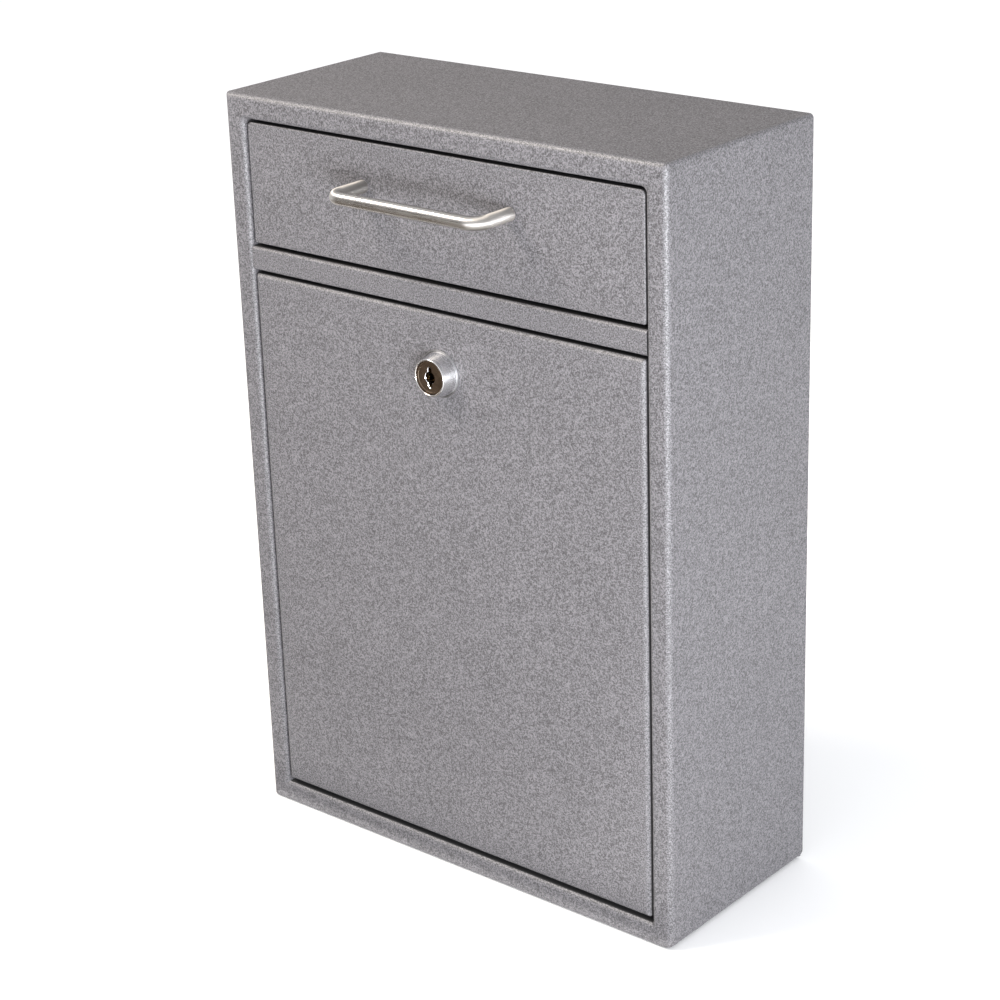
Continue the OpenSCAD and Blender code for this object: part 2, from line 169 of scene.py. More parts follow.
def new_piece(name, bm, smooth=True):
    """Turns a bmesh into an object with its faces turned outward."""
    bmesh.ops.recalc_face_normals(bm, faces=bm.faces)
    mesh = bpy.data.meshes.new(name)
    bm.to_mesh(mesh)
    bm.free()
    for polygon in mesh.polygons:
        polygon.use_smooth = smooth
    piece = bpy.data.objects.new(name, mesh)
    bpy.context.scene.collection.objects.link(piece)
    return piece


def bridge(bm, rings, closed=False):
    """Joins rings of equal length with quads. Returns the rings' vertices and the bands' faces."""
    rows = [[bm.verts.new(p) for p in ring] for ring in rings]
    pairs = list(zip(rows, rows[1:])) + ([(rows[-1], rows[0])] if closed else [])
    bands = []
    for low, high in pairs:
        count = len(low)
        band = []
        for i in range(count):
            k = (i + 1) % count
            band.append(bm.faces.new((low[i], low[k], high[k], high[i])))
        bands.append(band)
    return rows, bands


def loft(name, rings, closed=False, inner=()):
    """A solid through rings: open ends are capped, or the last ring joins the first. The bands
    whose numbers are in inner take the piece's second material."""
    bm = bmesh.new()
    rows, bands = bridge(bm, rings, closed)
    for i in inner:
        for face in bands[i]:
            face.material_index = 1
    if not closed:
        bm.faces.new(rows[0])
        bm.faces.new(rows[-1])
    return new_piece(name, bm)


def extrude_x(name, strip, x_from, x_to, front):
    """A bent sheet of constant section along X. The strip's points are (y, z). Its faces behind
    front and its ends take the second material."""
    left, right = strip
    outline = left + right[::-1]
    rings = [[Vector((x, p[0], p[1])) for p in outline] for x in (x_from, x_to)]
    bm = bmesh.new()
    rows, _ = bridge(bm, rings)
    half = len(left)
    for row in rows:
        for i in range(half - 1):
            k = len(outline) - 1 - i
            bm.faces.new((row[i], row[i + 1], row[k - 1], row[k]))
    bm.normal_update()
    for face in bm.faces:
        if face.calc_center_median().y > front or abs(face.normal.x) > SQUARE_ON:
            face.material_index = 1
    return new_piece(name, bm)


def turned(name, profile, centre, flatted=(), flat=0.0):
    """A turned part whose axis is Y, through the (radius, y) points of its profile and then of
    its flatted length, where nothing is further than flat from the axis in X."""
    rings = []
    for points, limit in ((profile, math.inf), (flatted, flat)):
        for radius, y in points:
            circle = arc((0, 0), radius, 0, 360, TURN_STEPS)[:-1]
            ring = [(max(-limit, min(limit, x)), z) for x, z in circle]
            rings.append([Vector((centre.x + x, y, centre.z + z)) for x, z in ring])
    return loft(name, rings, closed=True)


def rod(name, start, direction, length, radius, flat=None):
    """A plain round cutter, for holes. With flat, it is flatted in X."""
    bm = bmesh.new()
    turn = direction.to_track_quat("Z", "Y").to_matrix().to_4x4()
    place = Matrix.Translation(start + direction * length / 2) @ turn
    sizes = {"segments": HOLE_STEPS, "radius1": radius, "radius2": radius, "depth": length}
    bmesh.ops.create_cone(bm, cap_ends=True, matrix=place, **sizes)
    if flat is not None:
        for vert in bm.verts:
            vert.co.x = max(start.x - flat, min(start.x + flat, vert.co.x))
    return new_piece(name, bm)


def drill(piece, cutters):
    """Cuts the cutters out of a piece for good."""
    for cutter in cutters:
        cut = piece.modifiers.new("Hole", "BOOLEAN")
        cut.operation = "DIFFERENCE"
        cut.solver = "EXACT"
        cut.object = cutter
    bpy.context.view_layer.update()
    graph = bpy.context.evaluated_depsgraph_get()
    mesh = bpy.data.meshes.new_from_object(piece.evaluated_get(graph))
    mesh.name = piece.name
    piece.modifiers.clear()
    piece.data = mesh
    for cutter in cutters:
        bpy.data.objects.remove(cutter)


def soften(piece, width, weld=False):
    """Breaks the sharp edges and evens out the shading."""
    if weld:
        piece.modifiers.new("Join faces", "WELD").merge_threshold = WELD_GAP
    edge = piece.modifiers.new("Broken edges", "BEVEL")
    edge.limit_method = "ANGLE"
    edge.angle_limit = BROKEN_ANGLE
    edge.width = width
    edge.segments = 2
    even_shading(piece)


def even_shading(piece):
    """Keeps flat faces flat beside rounded ones."""
    shade = piece.modifiers.new("Even shading", "WEIGHTED_NORMAL")
    shade.mode = "FACE_AREA"
    shade.weight = 90
    shade.keep_sharp = False


def settle(piece, body, slot, materials, *nodes):
    """Paints a new piece, puts it on its body and hides the frame nodes it stands for."""
    for material in materials:
        piece.data.materials.append(material)
    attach(piece, body)
    if nodes:
        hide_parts(*nodes)


# ---- Materials ----

# The part of 0 to 1 that a noise's values mostly keep to.
NOISE_RUN = (0.3, 0.7)


class Finish:
    """A node material under construction: adds nodes and links them by socket name."""

    def __init__(self, name):
        self.material = bpy.data.materials.new(name)
        self.material.use_nodes = True
        self.tree = self.material.node_tree
        self.shader = self.tree.nodes["Principled BSDF"]
        self.place = self.add("ShaderNodeTexCoord").outputs["Object"]

    def add(self, kind, sockets=None, **settings):
        """A new node. A socket's value is a number, a vector or another node's socket."""
        node = self.tree.nodes.new(kind)
        for name, value in settings.items():
            setattr(node, name, value)
        for name, value in (sockets or {}).items():
            self.feed(node.inputs[name], value)
        return node

    def feed(self, socket, value):
        if isinstance(value, bpy.types.NodeSocket):
            self.tree.links.new(value, socket)
        else:
            socket.default_value = value

    def noise(self, scale, detail=2.0, roughness=0.5, vector=None):
        """Noise whose scale is in grains per metre."""
        sockets = {
            "Vector": vector or self.place,
            "Scale": scale,
            "Detail": detail,
            "Roughness": roughness,
        }
        return self.add("ShaderNodeTexNoise", sockets).outputs["Fac"]

    def stretched(self, scale):
        sockets = {"Vector": self.place, "Scale": scale}
        return self.add("ShaderNodeMapping", sockets).outputs["Vector"]

    def ranged(self, value, to_low, to_high, run=NOISE_RUN):
        """A value that runs over run, made to go from one number to another."""
        names = ("From Min", "From Max", "To Min", "To Max")
        sockets = dict(zip(names, (*run, to_low, to_high)))
        sockets["Value"] = value
        return self.add("ShaderNodeMapRange", sockets).outputs["Result"]

    def math(self, operation, first, second=0.0):
        node = self.add("ShaderNodeMath", {0: first, 1: second}, operation=operation)
        return node.outputs[0]

    def ramp(self, value, stops):
        """Colours placed along a value, as (position, (r, g, b))."""
        node = self.add("ShaderNodeValToRGB", {"Fac": value})
        ramp = node.color_ramp
        while len(ramp.elements) < len(stops):
            ramp.elements.new(0.5)
        for element, (position, colour) in zip(ramp.elements, stops):
            element.position = position
            element.color = (*colour, 1)
        return node.outputs["Color"]

    def tint(self, colour, value, low, high):
        """A colour made darker and lighter by a value."""
        if not isinstance(colour, bpy.types.NodeSocket):
            colour = (*colour, 1)
        sockets = {"Factor": 1, "A": colour, "B": self.ranged(value, low, high)}
        node = self.add("ShaderNodeMix", sockets, data_type="RGBA", blend_type="MULTIPLY")
        return node.outputs["Result"]

    def surface(self, colour, tone, tones, wear, gloss, relief=None, **others):
        """Ends a material whose colour follows one noise, and its roughness and relief another."""
        tinted = self.tint(colour, tone, *tones)
        self.set(Base_Color=tinted, Roughness=self.ranged(wear, *gloss), **others)
        if relief:
            self.bump(wear, *relief)
        return self.material

    def bump(self, height, strength, distance):
        """Lends the surface a relief whose depth is in metres."""
        sockets = {"Height": height, "Strength": strength, "Distance": distance}
        node = self.add("ShaderNodeBump", sockets)
        self.set(Normal=node.outputs["Normal"])

    def set(self, **sockets):
        """Sets the shader's sockets. An underscore in a name stands for a space."""
        for name, value in sockets.items():
            self.feed(self.shader.inputs[name.replace("_", " ")], value)


def scaled(colour, gain):
    """A colour made lighter or darker."""
    return tuple(min(1.0, channel * gain) for channel in colour)


def granite_powder_coat(coat):
    """Grey powder coat with a fine granite speckle and a slightly pebbled skin."""
    finish = Finish("granite_powder_coat")
    grain = finish.noise(1 / coat.grain_size, 1.0, 0.5)
    fine = finish.noise(2.3 / coat.grain_size, 1.0, 0.5)
    cloud = finish.noise(14, 3.0, 0.55)
    coarse_part = finish.math("MULTIPLY", grain, 0.65)
    fine_part = finish.math("MULTIPLY", fine, 0.35)
    total = finish.math("ADD", coarse_part, fine_part)
    spread = coat.speckle
    colour = tuple(coat.colour)
    speckle = finish.ramp(
        total,
        [
            (0.34, scaled(colour, 1 - spread)),
            (0.46, scaled(colour, 1 - spread * 0.35)),
            (0.54, scaled(colour, 1 + spread * 0.35)),
            (0.66, scaled(colour, 1 + spread * 1.25)),
        ],
    )
    finish.set(
        Base_Color=finish.tint(speckle, cloud, 0.97, 1.03),
        Roughness=finish.ranged(total, coat.gloss + 0.08, coat.gloss - 0.08, (0.35, 0.65)),
        Specular_IOR_Level=0.65,
    )
    finish.bump(total, 0.22, 0.00012)
    return finish.material


def painted_gap_shade(coat):
    """Painted shade: a thin near-black coat on the faces that the folds hide, so that the gaps
    between the doors and the frame read dark.
    """
    finish = Finish("painted_gap_shade")
    grain = finish.noise(1 / coat.grain_size, 2.0, 0.6)
    colour, relief = tuple(coat.primer), (0.3, 0.00012)
    others = {"Specular_IOR_Level": 0.2}
    return finish.surface(colour, grain, (0.8, 1.25), grain, (0.62, 0.78), relief, **others)


def brushed_bar_steel(handle, bend_x, bend_y):
    """Stainless bar, brushed along its length and round its two bends."""
    finish = Finish("brushed_bar_steel")
    split = finish.add("ShaderNodeSeparateXYZ", {"Vector": finish.place})
    side = finish.math("SIGN", split.outputs["X"])
    # How far a point is past the nearer bend's centre, sideways and outwards.
    across = finish.math("SUBTRACT", finish.math("ABSOLUTE", split.outputs["X"]), bend_x)
    across = finish.math("MAXIMUM", across, 0.0)
    out = finish.math("MAXIMUM", finish.math("SUBTRACT", bend_y, split.outputs["Y"]), 0.0)
    squares = finish.math("ADD", finish.math("POWER", across, 2.0), finish.math("POWER", out, 2.0))
    from_bend = finish.math("SQRT", squares)
    along = finish.math("ADD", split.outputs["X"], split.outputs["Y"])
    grain_place = finish.add(
        "ShaderNodeCombineXYZ",
        {
            "X": finish.math("MULTIPLY", from_bend, 60.0),
            "Y": finish.math("MULTIPLY", split.outputs["Z"], 60.0),
            "Z": along,
        },
    )
    grain = finish.noise(70, 3.0, 0.6, grain_place.outputs["Vector"])
    smear = finish.noise(60, 2.0)
    brushed = finish.ranged(grain, 0.22, 0.3)
    handled = finish.ranged(smear, 0, 0.04)
    worn = finish.math("ADD", brushed, handled)
    scuffed = finish.math("MULTIPLY", across, 0.24 / handle.bend_r)
    finish.set(
        Base_Color=finish.tint(tuple(handle.colour), grain, 0.86, 1.1),
        Metallic=1.0,
        Roughness=finish.math("ADD", worn, scuffed),
    )
    grind = finish.add(
        "ShaderNodeCombineXYZ", {"X": finish.math("MULTIPLY", out, side), "Y": across, "Z": 0.0}
    )
    finish.set(Tangent=grind.outputs["Vector"], Anisotropic=0.82)
    finish.bump(grain, 0.25, 0.00004)
    return finish.material


def polished_chrome(lock):
    """Bright plate with faint rubbing marks."""
    finish = Finish("polished_chrome")
    wear = finish.noise(900, 3.0, 0.6)
    haze = finish.noise(120, 2.0)
    colour, relief = tuple(lock.chrome_colour), (0.12, 0.00003)
    return finish.surface(colour, haze, (0.95, 1.03), wear, (0.07, 0.16), relief, Metallic=1.0)


def satin_chrome():
    """Chrome over a blasted surface, for the lock's base ring."""
    finish = Finish("satin_chrome")
    grain = finish.noise(2600, 2.0, 0.5)
    colour = (0.3, 0.3, 0.31)
    return finish.surface(colour, grain, (0.85, 1.15), grain, (0.42, 0.54), Metallic=1.0)


def plug_painted_reflection_and_shade(lock):
    """Metal plate on the plug's face, clouded and finely worn. Its dark brown colour is a painted
    reflection on the face, and painted shade deep in the keyway.
    """
    finish = Finish("plug_painted_reflection_and_shade")
    wear = finish.noise(700, 3.0, 0.6)
    haze = finish.noise(260, 2.0)
    colour, relief = tuple(lock.plug_colour), (0.15, 0.00003)
    return finish.surface(colour, haze, (0.8, 1.25), wear, (0.1, 0.22), relief, Metallic=1.0)


def bright_zinc():
    """Zinc plate with the soft blotches of a tumbled batch."""
    finish = Finish("bright_zinc")
    blotch = finish.noise(420, 3.0, 0.6)
    scratch = finish.noise(1, 2.0, 0.6, finish.stretched((260, 2600, 900)))
    colour, relief = (0.62, 0.62, 0.6), (0.2, 0.00003)
    return finish.surface(colour, blotch, (0.84, 1.1), scratch, (0.24, 0.42), relief, Metallic=1.0)


def stamped_brass():
    """Brass strip, darkened by old grease."""
    finish = Finish("stamped_brass")
    dull = finish.noise(600, 3.0, 0.6)
    colour, relief = (0.16, 0.11, 0.05), (0.15, 0.00003)
    return finish.surface(colour, dull, (0.75, 1.1), dull, (0.25, 0.45), relief, Metallic=1.0)


def black_rubber():
    """Moulded rubber with a dusty bloom."""
    finish = Finish("black_rubber")
    bloom = finish.noise(500, 3.0, 0.65)
    colour, relief = (0.03, 0.03, 0.03), (0.3, 0.00006)
    return finish.surface(colour, bloom, (0.7, 1.5), bloom, (0.62, 0.85), relief)


def black_nylon():
    """Black nylon with faint flow marks."""
    finish = Finish("black_nylon")
    flow = finish.noise(1, 2.0, 0.5, finish.stretched((300, 900, 900)))
    colour, relief = (0.02, 0.02, 0.021), (0.1, 0.00004)
    return finish.surface(colour, flow, (0.8, 1.3), flow, (0.42, 0.55), relief)


def pale_floor(stage):
    """A matt pale sweep with a barely visible mottle."""
    finish = Finish("pale_floor")
    mottle = finish.noise(6, 3.0, 0.6)
    colour, others = tuple(stage.floor_colour), {"Specular_IOR_Level": 0.0}
    return finish.surface(colour, mottle, (0.995, 1.0), mottle, (0.85, 0.95), **others)


def dark_card():
    """Matt dark felt with a faint nap."""
    finish = Finish("dark_card")
    nap = finish.noise(300, 3.0, 0.6)
    finish.set(Base_Color=finish.tint((0.11, 0.095, 0.08), nap, 0.8, 1.2), Roughness=0.9)
    return finish.material


def material(maker, *given):
    """The material named after its maker, made the first time it is asked for."""
    return bpy.data.materials.get(maker.__name__) or maker(*given)


def coat_materials(context):
    """The coat, and the painted gap shade for a folded piece's hidden faces."""
    coat = context.scene.drop_box.coat
    outside = material(granite_powder_coat, coat)
    return [outside, material(painted_gap_shade, coat)]


# ---- Settings ----


class CabinetSettings(PropertyGroup):
    edge_r: FloatProperty(
        name="Front edge radius",
        description="Outside radius of the fold between the walls and the front frame",
        default=3.3 * MM,
        unit="LENGTH",
    )
    fold_r: FloatProperty(
        name="Opening fold radius",
        description="Outside radius of the fold between the front frame and its return lip",
        default=2.7 * MM,
        unit="LENGTH",
    )
    outer_corner_r: FloatVectorProperty(
        name="Outer corner radii",
        description="Where two walls meet: lower left, lower right, upper right, upper left",
        size=4,
        default=(0.7 * MM, 6.0 * MM, 2.4 * MM, 0.7 * MM),
        unit="LENGTH",
    )
    opening_corner_r: FloatProperty(
        name="Opening corner radius",
        description="Rounding of the opening's upper corners, seen from the front",
        default=3.6 * MM,
        unit="LENGTH",
    )
    opening_foot_r: FloatProperty(
        name="Opening foot radius",
        description="Rounding of the opening's lower corners, seen from the front",
        default=0.9 * MM,
        unit="LENGTH",
    )
    sheet_edge: FloatProperty(
        name="Sheet edge",
        description="Rounding of the painted sheet's cut edges",
        default=0.35 * MM,
        unit="LENGTH",
    )
    rail_fold_r: FloatProperty(
        name="Rail fold radius",
        description="Outside radius of the divider rail's two folds",
        default=1.8 * MM,
        unit="LENGTH",
    )


class DoorSettings(PropertyGroup):
    door_edge_r: FloatProperty(
        name="Door edge radius",
        description="Outside radius of the folds round the collection door",
        default=2.9 * MM,
        unit="LENGTH",
    )
    door_corner_r: FloatProperty(
        name="Door corner radius",
        description="Rounding of the collection door's corners, seen from the front",
        default=1.4 * MM,
        unit="LENGTH",
    )
    hopper_edge_r: FloatProperty(
        name="Hopper edge radius",
        description="Outside radius of the folds round the hopper",
        default=1.0 * MM,
        unit="LENGTH",
    )
    hopper_corner_r: FloatProperty(
        name="Hopper corner radius",
        description="Rounding of the hopper's upper corners, seen from the front",
        default=2.6 * MM,
        unit="LENGTH",
    )
    crown: FloatProperty(
        name="Crown",
        description="How far the doors' faces fall back at their folds",
        default=0.18 * MM,
        unit="LENGTH",
    )
    crown_width: FloatProperty(
        name="Crown width",
        description="Width of the band beside each fold over which the face falls back",
        default=14 * MM,
        unit="LENGTH",
    )


class HandleSettings(PropertyGroup):
    bend_r: FloatProperty(
        name="Bend radius",
        description="Radius of the bar's middle line at its two bends",
        default=7.5 * MM,
        unit="LENGTH",
    )
    colour: FloatVectorProperty(
        name="Steel",
        description="Colour of the brushed bar",
        default=(0.47, 0.45, 0.43),
        subtype="COLOR",
    )


class LockSettings(PropertyGroup):
    front_d: FloatProperty(
        name="Front diameter",
        description="Diameter of the lock's head at its front rim",
        default=19.5 * MM,
        unit="LENGTH",
    )
    seat_d: FloatProperty(
        name="Seat diameter",
        description="Diameter of the recess that the plug turns in",
        default=18 * MM,
        unit="LENGTH",
    )
    bore_d: FloatProperty(
        name="Bore diameter",
        description="Diameter of the bore through the barrel",
        default=14.1 * MM,
        unit="LENGTH",
    )
    barrel_d: FloatProperty(
        name="Barrel diameter",
        description="Outside diameter of the threaded barrel",
        default=19 * MM,
        unit="LENGTH",
    )
    barrel_flats: FloatProperty(
        name="Barrel flats",
        description="Width across the barrel's two flats",
        default=16.6 * MM,
        unit="LENGTH",
    )
    thread_pitch: FloatProperty(
        name="Thread pitch",
        description="Distance between the barrel's ridges",
        default=1.0 * MM,
        unit="LENGTH",
    )
    keyway_w: FloatProperty(
        name="Keyway width",
        description="Width of the keyway's slot",
        default=2.2 * MM,
        unit="LENGTH",
    )
    keyway_h: FloatProperty(
        name="Keyway height",
        description="Length of the keyway's slot",
        default=11 * MM,
        unit="LENGTH",
    )
    keyway_round_d: FloatProperty(
        name="Keyway centre",
        description="Diameter of the round hole at the keyway's middle",
        default=6.2 * MM,
        unit="LENGTH",
    )
    keyway_depth: FloatProperty(
        name="Keyway depth",
        description="Depth of the keyway behind the plug's face",
        default=16.9 * MM,
        unit="LENGTH",
    )
    step_d: FloatProperty(
        name="Face step diameter",
        description="Diameter of the shallow step on the plug's face",
        default=15.4 * MM,
        unit="LENGTH",
    )
    chrome_colour: FloatVectorProperty(
        name="Chrome",
        description="Colour of the lock's bright plate",
        default=(0.86, 0.86, 0.87),
        subtype="COLOR",
    )
    # This colour is a painted dark reflection on the plug's face, and painted shade deep in its
    # keyway.
    plug_colour: FloatVectorProperty(
        name="Plug plate",
        description="Colour of the dark plate on the plug's face",
        default=(0.26, 0.205, 0.16),
        subtype="COLOR",
    )


class CoatSettings(PropertyGroup):
    colour: FloatVectorProperty(
        name="Coat",
        description="Mean colour of the powder coat",
        default=(0.098, 0.0945, 0.1015),
        subtype="COLOR",
    )
    # This colour is painted shade on the faces that the folds hide, so that the gaps read dark.
    primer: FloatVectorProperty(
        name="Primer",
        description="Colour of the primer on the faces that the folds hide",
        default=(0.03, 0.0295, 0.0305),
        subtype="COLOR",
    )
    grain_size: FloatProperty(
        name="Grain size",
        description="Size of the coat's larger grains",
        default=0.75 * MM,
        unit="LENGTH",
    )
    speckle: FloatProperty(
        name="Speckle",
        description="How much darker and lighter the grains are than the mean",
        default=0.72,
        subtype="FACTOR",
    )
    gloss: FloatProperty(
        name="Roughness",
        description="Mean roughness of the coat, from 0, a mirror, to 1, chalk",
        default=0.52,
        subtype="FACTOR",
    )


class StageSettings(PropertyGroup):
    camera_at: FloatVectorProperty(
        name="Camera position",
        description="Where the camera stands",
        default=(0.8035, -0.9563, 0.6900),
        subtype="TRANSLATION",
    )
    looks_at: FloatVectorProperty(
        name="Camera target",
        description="The point at the middle of the view",
        default=(-0.0210, 0.0077, 0.1901),
        subtype="TRANSLATION",
    )
    lens: FloatProperty(
        name="Lens",
        description="Focal length of the camera, in millimetres on a 36 mm sensor",
        default=90.39,
        unit="CAMERA",
    )
    roll: FloatProperty(
        name="Camera roll",
        description="How far the camera leans about its own line of sight",
        default=math.radians(1.89),
        subtype="ANGLE",
    )
    floor_colour: FloatVectorProperty(
        name="Floor",
        description="Colour of the pale floor",
        default=(0.95, 0.95, 0.95),
        subtype="COLOR",
    )
    sky: FloatProperty(
        name="Room light",
        description="Strength of the even light from all round",
        default=1.05,
    )


class DropBoxSettings(PropertyGroup):
    cabinet: PointerProperty(type=CabinetSettings)
    doors: PointerProperty(type=DoorSettings)
    handle: PointerProperty(type=HandleSettings)
    lock: PointerProperty(type=LockSettings)
    coat: PointerProperty(type=CoatSettings)
    stage: PointerProperty(type=StageSettings)


# ---- Cabinet ----


def shell_section(edge_r, fold_r, sheet_edge):
    """The folded wall's outline, as (inset from the wall's outer face, y), once round."""
    front = CABINET[0].y
    back = CABINET[1].y
    fold_at = (FACE_WIDTH - fold_r, front + fold_r)
    edge_at = (edge_r, front + edge_r)
    lip_in = FACE_WIDTH - SHEET
    section = arc((sheet_edge, back - sheet_edge), sheet_edge, 90, 180, 3)
    section += arc(edge_at, edge_r, 180, 270, 10)
    section += arc(fold_at, fold_r, 270, 360, 8)
    section += arc((FACE_WIDTH - sheet_edge, LIP_Y - sheet_edge), sheet_edge, 0, 90, 3)
    section += arc((lip_in + sheet_edge, LIP_Y - sheet_edge), sheet_edge, 90, 180, 3)
    section += arc(fold_at, fold_r - SHEET, 360, 270, 4)
    section += arc(edge_at, edge_r - SHEET, 270, 180, 6)
    section.append((SHEET, back))
    return section


# The bands of the shell behind the frame and its lip, which take the second material, painted shade
# that makes the gaps read dark. They follow from the steps of shell_section's arcs.
LIP_SHADE_BANDS = range(24, 43)


class DROPBOX_OT_cabinet(Operator):
    """Folds the cabinet's four walls and its front frame as one welded shell"""

    bl_idname = "dropbox.cabinet"
    bl_label = "Cabinet Shell"

    def execute(self, context):
        sizes = context.scene.drop_box.cabinet
        foot_r, head_r = sizes.opening_foot_r, sizes.opening_corner_r
        inner_r = (foot_r, foot_r, head_r, head_r)

        def radii_at(inset):
            share = inset / FACE_WIDTH
            return [a * (1 - share) + b * share for a, b in zip(sizes.outer_corner_r, inner_r)]

        section = shell_section(sizes.edge_r, sizes.fold_r, sizes.sheet_edge)
        rings = inset_rings(CABINET, section, radii_at)
        shell = loft("cabinet_shell", rings, closed=True, inner=LIP_SHADE_BANDS)
        # Painted shade: the sill lip's upward faces, seen through the gap under the door, take the
        # dark second material.
        for face in shell.data.polygons:
            height = face.center.z - CABINET[0].z
            shaded_sill_lip = 2 * SHEET < height < FACE_WIDTH + SHEET
            if shaded_sill_lip and face.normal.z > SQUARE_ON:
                face.material_index = 1
        even_shading(shell)
        nodes = ("left_side", "right_side", "top_panel", "bottom_panel")
        settle(shell, "cabinet", "powder_coat", coat_materials(context), *nodes)
        return {"FINISHED"}


# Width of the broken edges of the rail's sheet.
RAIL_EDGE = 0.2 * MM


class DROPBOX_OT_rail(Operator):
    """Folds the channel that divides the hopper from the collection door"""

    bl_idname = "dropbox.rail"
    bl_label = "Divider Rail"

    def execute(self, context):
        sizes = context.scene.drop_box.cabinet
        low, high = RAIL
        half = SHEET / 2
        corners = [
            (high.y, high.z - half),
            (low.y + half, high.z - half),
            (low.y + half, low.z + half),
            (high.y, low.z + half),
        ]
        strip = bent_strip(corners, sizes.rail_fold_r)
        # The rail's flanges and ends take the second material, painted shade for the gaps above and
        # below the rail.
        rail = extrude_x("rail_channel", strip, low.x, high.x, low.y + sizes.rail_fold_r)
        soften(rail, RAIL_EDGE)
        settle(rail, "cabinet", "powder_coat", coat_materials(context), "divider_rail")
        return {"FINISHED"}


# ---- Doors ----


# The bands of a pan that take the painted shade: the end of its fold and its skirt, so that the
# gaps round the pan read dark. They follow from the steps of pan_rings' arcs.
SKIRT_SHADE_BANDS = range(12, 15)

# Steps in the fall of a pan's face, and the rounding of its sheet's cut edges.
FALL_STEPS = 6
PAN_RIM_R = 0.3 * MM

# How fast a pan's corners tighten inwards, and the least radii of a corner and an inner fold.
CORNER_FADE = 0.75
LEAST_CORNER_R = 0.15 * MM
LEAST_FOLD_R = 0.2 * MM

# Radii of the holes for the hinge pins and for the handle's screws, and the barrel's clearance.
PIN_HOLE_R = 2.55 * MM
SCREW_HOLE_R = 2.2 * MM
BARREL_FIT = 0.1 * MM


def pan_rings(box, edge_r, corner_radii, crown, crown_width):
    """Rings over a folded pan, from the middle of its face, round its folds, to its inside."""
    low, high = box
    face = low.y + crown
    section = []
    for i in range(FALL_STEPS + 1):
        share = i / FALL_STEPS
        fall = crown * (1 - math.cos(math.pi * (1 - share))) / 2
        section.append((edge_r + crown_width * (1 - share), face - fall))
    section += arc((edge_r, face + edge_r), edge_r, 270, 180, 8)[1:]
    rim = PAN_RIM_R
    section += arc((rim, high.y - rim), rim, 180, 90, 3)
    section += arc((SHEET - rim, high.y - rim), rim, 90, 0, 3)
    inner_r = max(edge_r - SHEET, LEAST_FOLD_R)
    section += arc((SHEET + inner_r, face + SHEET + inner_r), inner_r, 180, 270, 4)

    def radii_at(inset):
        return [max(radius - inset * CORNER_FADE, LEAST_CORNER_R) for radius in corner_radii]

    return inset_rings(box, section, radii_at)


def pin_cutters(hinge, box):
    """Cutters for the two hinge pins' holes."""
    cutters = []
    for side in (-1, 1):
        start = Vector((side * (box[1].x - 3 * SHEET), hinge.y, hinge.z))
        name = "pin_hole_left" if side < 0 else "pin_hole_right"
        cutters.append(rod(name, start, Vector((side, 0, 0)), 5 * SHEET, PIN_HOLE_R))
    return cutters


class DROPBOX_OT_door(Operator):
    """Folds the collection door's pan and drills it for its pins and its lock"""

    bl_idname = "dropbox.door"
    bl_label = "Collection Door"

    def execute(self, context):
        sizes = context.scene.drop_box.doors
        lock = context.scene.drop_box.lock
        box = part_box("door_panel")
        radii = [sizes.door_corner_r] * 4
        rings = pan_rings(box, sizes.door_edge_r, radii, sizes.crown, sizes.crown_width)
        door = loft("door_skin", rings, inner=SKIRT_SHADE_BANDS)
        axis = JOINTS["key_turn"]
        barrel = rod(
            "barrel_hole",
            Vector((axis.x, box[0].y - 5 * MM, axis.z)),
            -FRONT,
            12 * MM,
            lock.barrel_d / 2 + BARREL_FIT,
            lock.barrel_flats / 2 + BARREL_FIT,
        )
        drill(door, [barrel] + pin_cutters(JOINTS["door_swing"], box))
        even_shading(door)
        settle(door, "collection_door", "powder_coat", coat_materials(context), "door_panel")
        return {"FINISHED"}


def handle_feet():
    """Where the middle lines of the handle's two legs meet the hopper's face."""
    low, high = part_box("pull_handle")
    bar_r = (high.z - low.z) / 2
    for side in (-1, 1):
        yield Vector((side * (high.x - bar_r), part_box("hopper_panel")[0].y, (low.z + high.z) / 2))


class DROPBOX_OT_hopper(Operator):
    """Folds the hopper's front pan and drills it for its pins and its handle"""

    bl_idname = "dropbox.hopper"
    bl_label = "Hopper Front"

    def execute(self, context):
        sizes = context.scene.drop_box.doors
        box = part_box("hopper_panel")
        foot_r = sizes.hopper_corner_r * 0.6
        radii = [foot_r, foot_r, sizes.hopper_corner_r, sizes.hopper_corner_r]
        rings = pan_rings(box, sizes.hopper_edge_r, radii, sizes.crown, sizes.crown_width)
        front = loft("hopper_skin", rings, inner=SKIRT_SHADE_BANDS)
        cutters = pin_cutters(JOINTS["hopper_tip"], box)
        for i, foot in enumerate(handle_feet()):
            start = foot + FRONT * 2 * MM
            cutters.append(rod(f"screw_hole_{i}", start, -FRONT, 6 * MM, SCREW_HOLE_R))
        drill(front, cutters)
        even_shading(front)
        settle(front, "hopper", "powder_coat", coat_materials(context), "hopper_panel")
        return {"FINISHED"}


# ---- Handle ----


